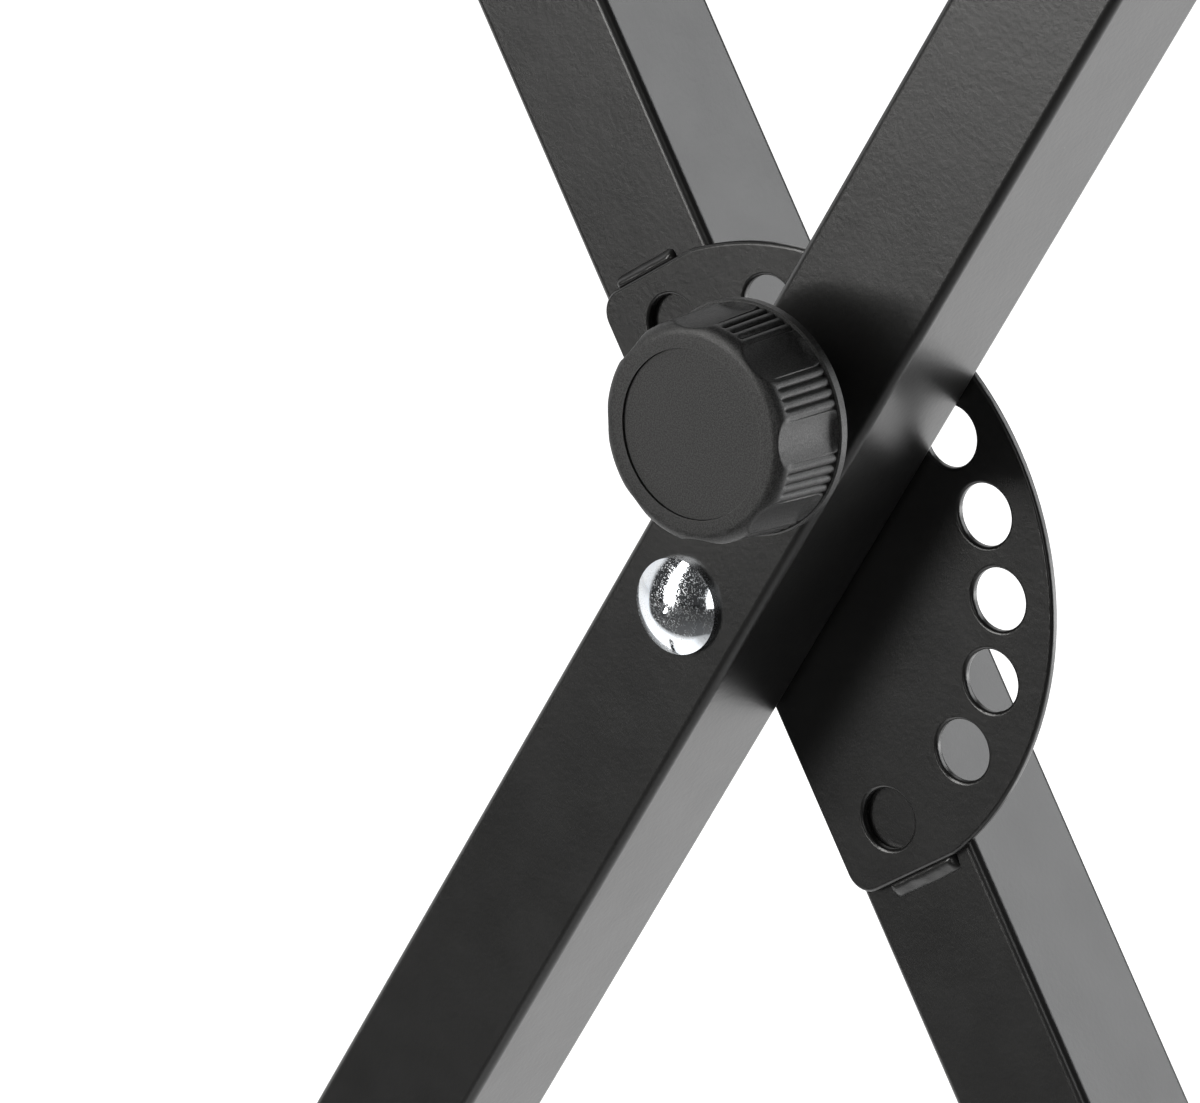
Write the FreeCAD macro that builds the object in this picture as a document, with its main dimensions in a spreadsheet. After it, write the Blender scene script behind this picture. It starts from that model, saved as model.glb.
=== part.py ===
import FreeCAD, Part
import math
import os

import Sketcher

# A folding single-X keyboard stand: two square-tube legs cross on a bolt, and a spring-loaded
# pin on the front leg drops into a ring of holes in a plate on the rear leg.
# Frame: origin on the floor below the pivot, +X right, +Y to the rear, +Z up, millimetres.

SIZES = (
    ("tube_side", 30.0, "outside width of every square tube"),
    ("tube_wall", 1.5, "wall of every square tube"),
    ("tube_corner", 1.8, "outside corner radius of every square tube"),
    ("hole_angle", 18.0, "angle between two neighbouring lock holes"),
    ("stance_count", 1.0, "lock holes between the middle of their row and the one in use"),
    ("leg_reach", 480.0, "along a leg from the pivot to its arm, and to its foot bar"),
    ("leg_gap", 1.0, "friction washer between front leg and lock plate"),
    ("plate_thickness", 2.0, "lock plate"),
    ("hole_circle_radius", 52.0, "from the pivot to the lock holes"),
    ("lock_hole", 12.2, "diameter of a lock hole"),
    ("plate_rim_width", 12.5, "lock plate outside the hole circle"),
    ("plate_flat_depth", 1.0, "trimmed off both ends of the round lock plate"),
    ("plate_corner", 5.0, "corner radius on the straight side of the lock plate"),
    ("plate_edge", 0.7, "rounding of the stamped edges, front and back"),
    ("bolt_diameter", 8.0, "every bolt"),
    ("bolt_slack", 0.4, "bolt hole wider than its bolt"),
    ("cup_diameter", 18.8, "domed bolt head"),
    ("cup_height", 4.8, "domed bolt head"),
    ("cup_rim_height", 1.4, "straight edge below the dome"),
    ("nut_width", 13.0, "nut across its flats"),
    ("nut_height", 7.5, "self-locking nut"),
    ("nut_slack", 0.1, "nut bore wider than the bolt"),
    ("bolt_end_length", 2.0, "bolt past its nut"),
    ("washer_diameter", 16.0, "flat washer"),
    ("washer_thickness", 1.6, "flat washer"),
    ("friction_diameter", 24.0, "friction washer"),
    ("spacer_diameter", 14.0, "sleeve round the pivot bolt inside a leg"),
    ("pin_shaft_diameter", 8.0, "lock pin inside its bush"),
    ("pin_nose_length", 13.0, "thick end of the lock pin"),
    ("pin_bevel", 0.8, "bevel at the tip of the lock pin"),
    ("pin_rest_gap", 0.4, "pin tip short of the lock plate when pulled clear"),
    ("nose_slack", 0.6, "lock hole wider than the pin nose"),
    ("guide_slack", 0.3, "pin guides wider than the pin"),
    ("bush_diameter", 18.0, "pin bush in front of the leg"),
    ("bush_spigot", 12.0, "pin bush where it passes the wall of the leg"),
    ("spigot_slack", 0.2, "hole in the leg wider than the spigot"),
    ("spigot_length", 1.0, "spigot past the wall of the leg"),
    ("bush_edge", 1.0, "rounding of the bush"),
    ("seat_gap", 0.3, "between knob and bush when the pin is locked"),
    ("spring_wire_diameter", 1.4, "wire of the pin spring"),
    ("spring_slack", 0.4, "between the pin and the coils"),
    ("quarter_turn_count", 26.0, "quarter turns of the pin spring"),
    ("knob_standoff", 13.8, "back of the knob in front of the leg"),
    ("knob_height", 18.2, "knob from back to end face"),
    ("knob_rim_radius", 22.3, "radius of the thin rim behind the grip"),
    ("knob_rim_depth", 2.2, "thickness of that rim"),
    ("grip_back_radius", 21.8, "radius of the grip at the rim"),
    ("grip_front_radius", 20.9, "radius of the grip at the end face"),
    ("knob_edge", 2.6, "rounding of the front edge"),
    ("knob_hub_radius", 10.5, "radius of the hub behind the knob"),
    ("knob_skirt_radius", 18.5, "inner radius of the hollow behind the knob"),
    ("knob_hollow_depth", 12.2, "depth of the hollow behind the knob"),
    ("knob_web_thickness", 2.5, "plastic between the pin and the end cap"),
    ("scallop_count", 8.0, "finger scallops round the grip"),
    ("scallop_radius", 17.0, "curve of a scallop at the end face"),
    ("scallop_depth", 1.1, "scallop in the grip"),
    ("knob_turn_angle", 12.3, "knob on its pin"),
    ("groove_count", 64.0, "grip grooves counted all round"),
    ("groove_width", 0.7, "grip groove"),
    ("groove_depth", 0.7, "grip groove"),
    ("groove_stop", 2.8, "smooth end of the grip in front of the grooves"),
    ("cap_radius", 16.0, "end cap of the knob"),
    ("cap_thickness", 2.0, "end cap of the knob"),
    ("cap_sink", 0.5, "end cap below the end face"),
    ("cap_slack", 0.2, "recess wider than the cap"),
    ("arm_length", 360.0, "tube of a top arm"),
    ("foot_length", 400.0, "tube of a foot bar"),
    ("saddle_sheet", 2.5, "sheet of the saddles under arms and foot bars"),
    ("saddle_flange", 14.0, "how far a saddle reaches up the tube"),
    ("saddle_slack", 0.2, "saddle wider than the tube, each side"),
    ("end_plate_thickness", 5.0, "plate on the end of a leg"),
    ("end_plate_corner", 6.0, "corner radius of that plate"),
    ("weld_height", 2.4, "weld bead on the plate that it holds"),
    ("weld_width", 3.4, "weld bead on the leg"),
    ("weld_start", 7.5, "from the middle of the leg to the left end of a lock plate weld"),
    ("upper_weld_length", 15.0, "weld above the lock plate"),
    ("lower_weld_length", 19.0, "weld below the lock plate"),
    ("tack_weld_length", 6.0, "weld of an end plate"),
    ("rubber_wall", 6.0, "foot boots and arm sleeves"),
    ("rubber_round", 10.0, "their corner radius"),
    ("rubber_slack", 0.15, "rubber wider than its tube, each side"),
    ("fold_clearance", 3.0, "from the folded middle plane to the rubber"),
    ("boot_grip", 45.0, "foot boot on the tube"),
    ("boot_end", 6.0, "end wall of a foot boot"),
    ("sole_cut", 1.7, "flat sole cut into the round corner of a boot"),
    ("sleeve_length", 80.0, "arm sleeve"),
    ("sleeve_gap", 1.5, "between sleeve and arm cap"),
    ("arm_cap_wall", 4.0, "arm cap round the tube"),
    ("arm_cap_grip", 24.0, "arm cap on the tube"),
    ("arm_cap_end", 5.0, "end wall of an arm cap"),
    ("arm_cap_round", 5.0, "corner radius of an arm cap"),
    ("lip_height", 16.0, "lip above the arm cap"),
    ("lip_depth", 8.0, "thickness of the lip"),
)

DOC = FreeCAD.newDocument("keyboard_stand")
SHEET = DOC.addObject("Spreadsheet::Sheet", "Sizes")
for row, (alias, number, meaning) in enumerate(SIZES, start=1):
    SHEET.set(f"A{row}", meaning)
    SHEET.set(f"B{row}", str(number))
    SHEET.setAlias(f"B{row}", alias)
DOC.recompute()

NODES = []

# Sizes that follow from the sheet
HALF_TUBE = "(Sizes.tube_side / 2)"
TUBE_INSIDE = "(Sizes.tube_side - 2 * Sizes.tube_wall)"
BOLT_HOLE = "(Sizes.bolt_diameter + Sizes.bolt_slack)"
LEAN = "(45 - (Sizes.stance_count + 0.5) * Sizes.hole_angle / 2)"
HALF_STACK = "(Sizes.tube_side + (Sizes.leg_gap + Sizes.plate_thickness) / 2)"
LEG_SPREAD = f"({HALF_STACK} - {HALF_TUBE})"
PLATE_RADIUS = "(Sizes.hole_circle_radius + Sizes.plate_rim_width)"
PLATE_END = f"({PLATE_RADIUS} - Sizes.plate_flat_depth)"
RUBBER_SIDE = "(Sizes.tube_side + 2 * Sizes.rubber_wall)"
RUBBER_BORE = "(Sizes.tube_side + 2 * Sizes.rubber_slack)"
BAR_OFFSET = f"({RUBBER_SIDE} / 2 + Sizes.fold_clearance)"
BAR_SEAT = f"({HALF_TUBE} + Sizes.saddle_sheet)"
LEG_END_DROP = f"({BAR_SEAT} + Sizes.end_plate_thickness)"
SOLE_DROP = (
    f"(({RUBBER_SIDE} / 2 - Sizes.rubber_round) * (cos({LEAN}) + sin({LEAN}))"
    " + Sizes.rubber_round - Sizes.sole_cut)"
)
PIVOT_HEIGHT = f"({SOLE_DROP} + Sizes.leg_reach * cos({LEAN}) - {BAR_OFFSET} * sin({LEAN}))"
PIN_NOSE = "(Sizes.lock_hole - Sizes.nose_slack)"
PIN_TIP = "(Sizes.tube_side + Sizes.leg_gap - Sizes.pin_rest_gap)"
PIN_SHOULDER = f"({PIN_TIP} - Sizes.pin_nose_length)"
BUSH_SEAT = "(Sizes.tube_wall + Sizes.spigot_length)"
KNOB_FACE = "(Sizes.knob_standoff + Sizes.knob_height)"
CAP_FLOOR = f"({KNOB_FACE} - Sizes.cap_sink - Sizes.cap_thickness)"
PIN_END = f"({CAP_FLOOR} - Sizes.knob_web_thickness)"


def value(expression):
    return float(SHEET.evalExpression(expression))


# Frames
def placed(x="0", y="0", z="0", axis="0; 0; 1", angle="0"):
    return f"placement(vector({x}; {y}; {z}); rotation(vector({axis}); {angle}))"


FRONT_LEG = placed(z=PIVOT_HEIGHT, axis="0; 1; 0", angle=LEAN)
REAR_LEG = placed(z=PIVOT_HEIGHT, axis="0; 1; 0", angle=f"-{LEAN}")
PIN_AXIS = f"{FRONT_LEG} * {placed(y=f'-{HALF_STACK}', z='Sizes.hole_circle_radius')}"
ABOUT_X = "1; 0; 0"
ABOUT_Y = "0; 1; 0"
ABOUT_Z = "0; 0; 1"

# The four leg ends share one design: in the frame of an end the leg comes from below, +X is the
# outer side, and the middle of the cross bar lies LEG_SPREAD towards +Y.
RIGHT_ARM = f"{FRONT_LEG} * {placed(y=f'-{LEG_SPREAD}', z='Sizes.leg_reach')}"
LEFT_FOOT = f"{FRONT_LEG} * {placed(y=f'-{LEG_SPREAD}', z='-Sizes.leg_reach', axis=ABOUT_Y, angle='180')}"
LEFT_ARM = f"{REAR_LEG} * {placed(y=LEG_SPREAD, z='Sizes.leg_reach', axis=ABOUT_Z, angle='180')}"
RIGHT_FOOT = f"{REAR_LEG} * {placed(y=LEG_SPREAD, z='-Sizes.leg_reach', axis=ABOUT_X, angle='180')}"


# Building blocks
def new_body(label, frame, is_node=True):
    body = DOC.addObject("PartDesign::Body", label)
    body.Label = label
    body.setExpression("Placement", frame)
    if is_node:
        NODES.append(body)
    return body


def origin_feature(body, role):
    return next(feature for feature in body.Origin.OriginFeatures if feature.Role == role)


def new_sketch(body, role, offset="0"):
    sketch = body.newObject("Sketcher::SketchObject", "sketch")
    sketch.AttachmentSupport = (origin_feature(body, role), [""])
    sketch.MapMode = "FlatFace"
    if offset != "0":
        sketch.setExpression("AttachmentOffset.Base.z", offset)
    return sketch


def fix_point(sketch, geometry, vertex, u, v):
    for kind, expression, axis in (("DistanceX", u, -2), ("DistanceY", v, -1)):
        if expression == "0":
            sketch.addConstraint(Sketcher.Constraint("PointOnObject", geometry, vertex, axis))
        else:
            index = sketch.addConstraint(Sketcher.Constraint(kind, geometry, vertex, value(expression)))
            sketch.setExpression(f"Constraints[{index}]", expression)


def bulging_arc(start, end, inside, radius):
    """Arc over the chord from start to end, on the side away from the point inside."""
    chord = end - start
    outward = FreeCAD.Vector(chord.y, -chord.x, 0).normalize()
    if outward.dot(inside - start) > 0:
        outward = outward * -1
    rise = radius - (radius ** 2 - chord.Length ** 2 / 4) ** 0.5
    return Part.Arc(start, (start + end) / 2 + outward * rise, end)


def add_polygon(sketch, corners, arc_radius=None):
    """Closed outline; with an arc radius its first side bulges outwards."""
    points = [FreeCAD.Vector(value(u), value(v), 0) for u, v in corners]
    count = len(points)
    first = sketch.GeometryCount
    for number, start in enumerate(points):
        end = points[(number + 1) % count]
        side = Part.LineSegment(start, end)
        if arc_radius and number == 0:
            inside = sum(points, FreeCAD.Vector()) / count
            side = bulging_arc(start, end, inside, value(arc_radius))
        sketch.addGeometry(side, False)
    ends = [(first + number, 1, 2) for number in range(count)]
    if arc_radius:
        if not sketch.getPoint(first, 1).isEqual(points[0], 1e-6):
            ends[0] = (first, 2, 1)
        index = sketch.addConstraint(Sketcher.Constraint("Radius", first, value(arc_radius)))
        sketch.setExpression(f"Constraints[{index}]", arc_radius)
    for number, (u, v) in enumerate(corners):
        side, start, end = ends[number]
        after = ends[(number + 1) % count]
        sketch.addConstraint(Sketcher.Constraint("Coincident", side, end, after[0], after[1]))
        fix_point(sketch, side, start, u, v)


def add_square(sketch, side):
    half = f"({side} / 2)"
    add_polygon(sketch, [(f"-{half}", f"-{half}"), (half, f"-{half}"), (half, half), (f"-{half}", half)])


def add_circle(sketch, u, v, diameter):
    centre = FreeCAD.Vector(value(u), value(v), 0)
    circle = sketch.addGeometry(Part.Circle(centre, FreeCAD.Vector(0, 0, 1), value(diameter) / 2), False)
    fix_point(sketch, circle, 3, u, v)
    index = sketch.addConstraint(Sketcher.Constraint("Diameter", circle, value(diameter)))
    sketch.setExpression(f"Constraints[{index}]", diameter)


def extrude(body, kind, sketch, length, reverse=False):
    feature = body.newObject(f"PartDesign::{kind}", kind.lower())
    feature.Profile = sketch
    feature.setExpression("Length", length)
    feature.Reversed = reverse
    DOC.recompute()
    return feature


def drill(body, role, u, v, diameter, start, depth):
    """Round hole from the plane at start, against the normal of the origin plane."""
    sketch = new_sketch(body, role, start)
    add_circle(sketch, u, v, diameter)
    return extrude(body, "Pocket", sketch, depth)


def revolve(body, corners, arc_radius=None):
    """Turned piece about the Y axis: corners hold the place along Y and the radius."""
    sketch = new_sketch(body, "YZ_Plane")
    add_polygon(sketch, corners, arc_radius)
    feature = body.newObject("PartDesign::Revolution", "turned")
    feature.Profile = sketch
    feature.ReferenceAxis = (sketch, ["H_Axis"])
    feature.Angle = 360
    DOC.recompute()
    return feature


def round_edges(body, radius, is_chosen):
    base = body.Tip
    names = [f"Edge{number}" for number, edge in enumerate(base.Shape.Edges, start=1) if is_chosen(edge)]
    feature = body.newObject("PartDesign::Fillet", "rounding")
    feature.Base = (base, names)
    feature.setExpression("Radius", radius)
    DOC.recompute()
    return feature


def polar_pattern(body, feature, count, angle):
    pattern = body.newObject("PartDesign::PolarPattern", "ring")
    pattern.Originals = [feature]
    pattern.Axis = (origin_feature(body, "Y_Axis"), [""])
    pattern.setExpression("Angle", angle)
    pattern.setExpression("Occurrences", count)
    body.Tip = pattern
    DOC.recompute()
    return pattern


def group(label, members):
    compound = DOC.addObject("Part::Compound", label)
    compound.Label = label
    compound.Links = members
    NODES.append(compound)


def runs_along(edge, axis):
    if not isinstance(edge.Curve, Part.Line):
        return False
    return abs(edge.Curve.Direction.dot(axis)) > 0.999


def outer_corners(axis, side):
    """Picks the four long outer edges of a square piece along an axis."""
    reach = value(side) / 2 - 0.01

    def is_chosen(edge):
        middle = edge.CenterOfMass
        across = [size for size, along in zip(middle, axis) if not along]
        return runs_along(edge, axis) and all(abs(size) > reach for size in across)

    return is_chosen


ALONG_Y = FreeCAD.Vector(0, 1, 0)
ALONG_Z = FreeCAD.Vector(0, 0, 1)


# Pieces that occur more than once
def ring(label, frame, outer, inner, length, is_node=True):
    body = new_body(label, frame, is_node)
    sketch = new_sketch(body, "XZ_Plane")
    add_circle(sketch, "0", "0", outer)
    add_circle(sketch, "0", "0", inner)
    extrude(body, "Pad", sketch, length, reverse=True)
    return body


def cup_bolt(label, frame, length, is_node=True):
    """Domed bolt along +Y from the underside of its head, square below the head."""
    body = new_body(label, frame, is_node)
    cup = "(Sizes.cup_diameter / 2)"
    shank = "(Sizes.bolt_diameter / 2)"
    rise = "(Sizes.cup_height - Sizes.cup_rim_height)"
    dome = f"({cup} * {cup} + {rise} * {rise}) / (2 * {rise})"
    revolve(body, [
        ("-Sizes.cup_height", "0"),
        ("-Sizes.cup_rim_height", cup),
        ("0", cup),
        ("0", shank),
        (length, shank),
        (length, "0"),
    ], arc_radius=dome)
    neck = new_sketch(body, "XZ_Plane")
    add_square(neck, "Sizes.bolt_diameter")
    extrude(body, "Pad", neck, "Sizes.tube_wall", reverse=True)
    return body


def hex_nut(label, frame, is_node=True):
    body = new_body(label, frame, is_node)
    sketch = new_sketch(body, "XZ_Plane")
    corner = "(Sizes.nut_width / 2 / cos(30))"
    corners = []
    for angle in range(0, 360, 60):
        height = "0" if angle % 180 == 0 else f"{corner} * sin({angle})"
        corners.append((f"{corner} * cos({angle})", height))
    add_polygon(sketch, corners)
    add_circle(sketch, "0", "0", "Sizes.bolt_diameter + Sizes.nut_slack")
    extrude(body, "Pad", sketch, "Sizes.nut_height", reverse=True)
    return body


def square_tube(label, frame, role, axis, start, length):
    body = new_body(label, frame)
    sketch = new_sketch(body, role, start)
    add_square(sketch, "Sizes.tube_side")
    add_square(sketch, TUBE_INSIDE)
    extrude(body, "Pad", sketch, length)
    round_edges(body, "Sizes.tube_corner", outer_corners(axis, "Sizes.tube_side"))
    return body


def square_hole(body, role, u, v, start):
    """Hole in one tube wall for the square neck of a bolt."""
    sketch = new_sketch(body, role, start)
    half = f"({BOLT_HOLE} / 2)"
    low, high = f"{v} - {half}", f"{v} + {half}"
    left, right = f"{u} - {half}", f"{u} + {half}"
    add_polygon(sketch, [(left, low), (right, low), (right, high), (left, high)])
    extrude(body, "Pocket", sketch, "2 * Sizes.tube_wall")


def weld_bead(label, frame, start, length):
    """Round bead along X in the corner between the planes y = 0 and z = 0."""
    body = new_body(label, frame, is_node=False)
    sketch = new_sketch(body, "YZ_Plane", start)
    add_polygon(sketch, [("-Sizes.weld_height", "0"), ("0", "Sizes.weld_width"), ("0", "0")],
                arc_radius="Sizes.weld_width")
    extrude(body, "Pad", sketch, length)
    return body


# Legs
def leg_tube(label, frame):
    half = f"(Sizes.leg_reach - {LEG_END_DROP})"
    body = square_tube(label, frame, "XY_Plane", ALONG_Z, f"-{half}", f"2 * {half}")
    drill(body, "XZ_Plane", "0", "0", BOLT_HOLE, HALF_TUBE, "Sizes.tube_side")
    return body


FRONT_TUBE = f"{FRONT_LEG} * {placed(y=f'-{LEG_SPREAD}')}"
REAR_TUBE = f"{REAR_LEG} * {placed(y=LEG_SPREAD)}"
FAR_WALL = f"2 * Sizes.tube_wall - {HALF_TUBE}"

leg_tube("rear_leg_tube", REAR_TUBE)
front_tube = leg_tube("front_leg_tube", FRONT_TUBE)
square_hole(front_tube, "XZ_Plane", "0", "0", HALF_TUBE)
drill(front_tube, "XZ_Plane", "0", "Sizes.hole_circle_radius", "Sizes.bush_spigot + Sizes.spigot_slack",
      HALF_TUBE, "2 * Sizes.tube_wall")
drill(front_tube, "XZ_Plane", "0", "Sizes.hole_circle_radius", f"{PIN_NOSE} + Sizes.guide_slack",
      FAR_WALL, "3 * Sizes.tube_wall")


# Lock plate, stamped with its ring of holes and welded to the rear leg
def lock_plate():
    body = new_body("lock_plate", f"{REAR_LEG} * {placed(y=f'{LEG_SPREAD} - {HALF_TUBE}')}")
    outline = new_sketch(body, "XZ_Plane")
    arc_start = f"sqrt({PLATE_RADIUS} * {PLATE_RADIUS} - {PLATE_END} * {PLATE_END})"
    add_polygon(outline, [
        (arc_start, f"-{PLATE_END}"),
        (arc_start, PLATE_END),
        (f"-{HALF_TUBE}", PLATE_END),
        (f"-{HALF_TUBE}", f"-{PLATE_END}"),
    ], arc_radius=PLATE_RADIUS)
    front = "Sizes.plate_thickness"
    extrude(body, "Pad", outline, front)
    side = value(HALF_TUBE)
    round_edges(body, "Sizes.plate_corner",
                lambda edge: runs_along(edge, ALONG_Y) and edge.CenterOfMass.x < 0.01 - side)
    drill(body, "XZ_Plane", "0", "0", BOLT_HOLE, front, front)
    for sign in ("-", ""):
        drill(body, "XZ_Plane", "0", f"{sign}Sizes.hole_circle_radius", "Sizes.lock_hole", front, front)
    arc = "(3.5 * Sizes.hole_angle)"
    across, up = f"Sizes.hole_circle_radius * cos{arc}", f"Sizes.hole_circle_radius * sin{arc}"
    topmost = drill(body, "XZ_Plane", across, up, "Sizes.lock_hole", front, front)
    polar_pattern(body, topmost, "8", f"2 * {arc}")
    round_edges(body, "Sizes.plate_edge", lambda edge: edge.BoundBox.YLength < 0.01)


lock_plate()
ABOVE_PLATE = placed(y=f"{LEG_SPREAD} - {HALF_TUBE}", z=PLATE_END)
BELOW_PLATE = placed(y=f"{LEG_SPREAD} - {HALF_TUBE}", z=f"-{PLATE_END}", axis=ABOUT_Y, angle="180")
group("lock_plate_welds", [
    weld_bead("upper_plate_weld", f"{REAR_LEG} * {ABOVE_PLATE}", "-Sizes.weld_start",
              "Sizes.upper_weld_length"),
    weld_bead("lower_plate_weld", f"{REAR_LEG} * {BELOW_PLATE}",
              "Sizes.weld_start - Sizes.lower_weld_length", "Sizes.lower_weld_length"),
])

# Pivot
cup_bolt("pivot_bolt", f"{FRONT_LEG} * {placed(y=f'-{HALF_STACK}')}",
         f"2 * {HALF_STACK} + Sizes.washer_thickness + Sizes.nut_height + Sizes.bolt_end_length")
ring("pivot_washer", f"{FRONT_LEG} * {placed(y=HALF_STACK)}",
     "Sizes.washer_diameter", BOLT_HOLE, "Sizes.washer_thickness")
hex_nut("pivot_lock_nut", f"{FRONT_LEG} * {placed(y=f'{HALF_STACK} + Sizes.washer_thickness')}")
ring("friction_washer", f"{REAR_LEG} * {placed(y=f'Sizes.tube_side - {HALF_STACK}')}",
     "Sizes.friction_diameter", BOLT_HOLE, "Sizes.leg_gap")
ring("front_pivot_spacer", f"{FRONT_LEG} * {placed(y=f'Sizes.tube_wall - {HALF_STACK}')}",
     "Sizes.spacer_diameter", BOLT_HOLE, TUBE_INSIDE)
ring("rear_pivot_spacer", f"{REAR_LEG} * {placed(y=f'{HALF_STACK} - Sizes.tube_side + Sizes.tube_wall')}",
     "Sizes.spacer_diameter", BOLT_HOLE, TUBE_INSIDE)


# Lock pin with its bush and spring; along +Y from the front face of the leg
def pin_bush():
    body = new_body("pin_bush", PIN_AXIS)
    bore = "((Sizes.pin_shaft_diameter + Sizes.guide_slack) / 2)"
    outside = "(Sizes.bush_diameter / 2)"
    spigot = "(Sizes.bush_spigot / 2)"
    front = "-(Sizes.knob_standoff - Sizes.plate_thickness - Sizes.seat_gap)"
    revolve(body, [
        (front, bore),
        (front, outside),
        ("0", outside),
        ("0", spigot),
        (BUSH_SEAT, spigot),
        (BUSH_SEAT, bore),
    ])
    limit = value(front) + 0.01
    inner = value(bore) + 0.01
    round_edges(body, "Sizes.bush_edge",
                lambda edge: edge.BoundBox.YMax < limit and edge.Curve.Radius > inner)


def lock_pin():
    body = new_body("lock_pin", PIN_AXIS)
    shaft = "(Sizes.pin_shaft_diameter / 2)"
    nose = f"({PIN_NOSE} / 2)"
    revolve(body, [
        (f"-{PIN_END}", "0"),
        (f"-{PIN_END}", shaft),
        (PIN_SHOULDER, shaft),
        (PIN_SHOULDER, nose),
        (f"{PIN_TIP} - Sizes.pin_bevel", nose),
        (PIN_TIP, f"{nose} - Sizes.pin_bevel"),
        (PIN_TIP, "0"),
    ])


def arc_edge(start, control, end):
    """Round arc from start to end whose end tangents meet in control."""
    weight = (control - start).normalize().dot((end - start).normalize())
    middle = (start + end + control * (2 * weight)) / (2 + 2 * weight)
    return Part.Arc(start, middle, end).toShape()


def pin_spring():
    """Helical coil between bush and pin shoulder, swept along pairs of arcs."""
    wire_radius = value("Sizes.spring_wire_diameter") / 2
    mean_radius = value("Sizes.pin_shaft_diameter / 2 + Sizes.spring_slack") + wire_radius
    low = value(BUSH_SEAT) + wire_radius
    high = value(PIN_SHOULDER) - wire_radius
    quarters = int(value("Sizes.quarter_turn_count"))
    rise = (high - low) / quarters
    quarter_turn = FreeCAD.Rotation(ALONG_Y, 90)
    point = FreeCAD.Vector(mean_radius, low, 0)
    spoke = FreeCAD.Vector(mean_radius, 0, 0)
    lead = FreeCAD.Vector(0, rise * 2 / math.pi, -mean_radius).normalize()
    start_point, start_lead = point, lead
    edges = []
    for quarter in range(1, quarters + 1):
        spoke = quarter_turn.multVec(spoke)
        next_point = spoke + FreeCAD.Vector(0, low + rise * quarter, 0)
        next_lead = quarter_turn.multVec(lead)
        chord = next_point - point
        bend = 2 * (1 - lead.dot(next_lead))
        along = chord.dot(lead + next_lead)
        reach = ((along * along + bend * chord.dot(chord)) ** 0.5 - along) / bend
        near_control = point + lead * reach
        far_control = next_point - next_lead * reach
        meeting = (near_control + far_control) / 2
        edges.append(arc_edge(point, near_control, meeting))
        edges.append(arc_edge(meeting, far_control, next_point))
        point, lead = next_point, next_lead
    spine = [place for edge in edges for place in edge.discretize(8)]
    half_turn = 4 * 8
    least = min((far - near).Length
                for number, near in enumerate(spine) for far in spine[number + half_turn:])
    print(f"pin_spring: turns stay {least - 2 * wire_radius:.2f} mm apart")
    section = Part.Wire(Part.Circle(start_point, start_lead, wire_radius).toShape())
    coil = DOC.addObject("Part::Feature", "pin_spring")
    coil.Label = "pin_spring"
    coil.Shape = Part.Wire(edges).makePipeShell([section], True, False)
    coil.setExpression("Placement", PIN_AXIS)
    NODES.append(coil)


# Knob: turned blank, grooved grip, finger scallops, end cap
def knob():
    frame = f"{PIN_AXIS} * {placed(axis=ABOUT_Y, angle='-Sizes.knob_turn_angle')}"
    body = new_body("pull_knob", frame)
    bore = "((Sizes.pin_shaft_diameter + Sizes.nut_slack) / 2)"
    back = "-Sizes.knob_standoff"
    rim = "-(Sizes.knob_standoff + Sizes.knob_rim_depth)"
    hollow = "-(Sizes.knob_standoff + Sizes.knob_hollow_depth)"
    recess = "(Sizes.cap_radius + Sizes.cap_slack / 2)"
    revolve(body, [
        (back, bore),
        (back, "Sizes.knob_hub_radius"),
        (hollow, "Sizes.knob_hub_radius"),
        (hollow, "Sizes.knob_skirt_radius"),
        (back, "Sizes.knob_skirt_radius"),
        (back, "Sizes.knob_rim_radius"),
        (rim, "Sizes.knob_rim_radius"),
        (rim, "Sizes.grip_back_radius"),
        (f"-{KNOB_FACE}", "Sizes.grip_front_radius"),
        (f"-{KNOB_FACE}", recess),
        (f"-{CAP_FLOOR}", recess),
        (f"-{CAP_FLOOR}", "0"),
        (f"-{PIN_END}", "0"),
        (f"-{PIN_END}", bore),
    ])
    face = 0.01 - value(KNOB_FACE)
    cap_side = value(recess) + 0.01
    round_edges(body, "Sizes.knob_edge",
                lambda edge: edge.BoundBox.YMax < face and edge.BoundBox.XMax > cap_side)
    grip_length = "(Sizes.knob_height - Sizes.knob_rim_depth)"
    slope = f"((Sizes.grip_back_radius - Sizes.grip_front_radius) / {grip_length})"
    smooth = f"({KNOB_FACE} - Sizes.groove_stop)"
    floor_back = "(Sizes.grip_back_radius - Sizes.groove_depth)"
    floor_front = f"(Sizes.grip_front_radius + {slope} * Sizes.groove_stop - Sizes.groove_depth)"
    groove = new_sketch(body, "YZ_Plane", "-Sizes.groove_width / 2")
    add_polygon(groove, [
        (rim, floor_back),
        (rim, "Sizes.knob_rim_radius"),
        (f"-{smooth}", "Sizes.knob_rim_radius"),
        (f"-{smooth}", floor_front),
    ])
    polar_pattern(body, extrude(body, "Pocket", groove, "Sizes.groove_width", reverse=True),
                  "Sizes.groove_count", "360")
    axis_out = "(Sizes.grip_front_radius - Sizes.scallop_depth + Sizes.scallop_radius)"
    turn = "(90 - 180 / Sizes.scallop_count)"
    scallop = drill(body, "XZ_Plane", f"{axis_out} * cos{turn}", f"{axis_out} * sin{turn}",
                    "2 * Sizes.scallop_radius", KNOB_FACE, grip_length)
    scallop.setExpression("TaperAngle", f"-atan{slope}")
    DOC.recompute()
    polar_pattern(body, scallop, "Sizes.scallop_count", "360")
    cap = new_body("knob_cap", PIN_AXIS)
    disc = new_sketch(cap, "XZ_Plane", CAP_FLOOR)
    add_circle(disc, "0", "0", "2 * Sizes.cap_radius")
    extrude(cap, "Pad", disc, "Sizes.cap_thickness")


pin_bush()
lock_pin()
pin_spring()
knob()


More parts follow.
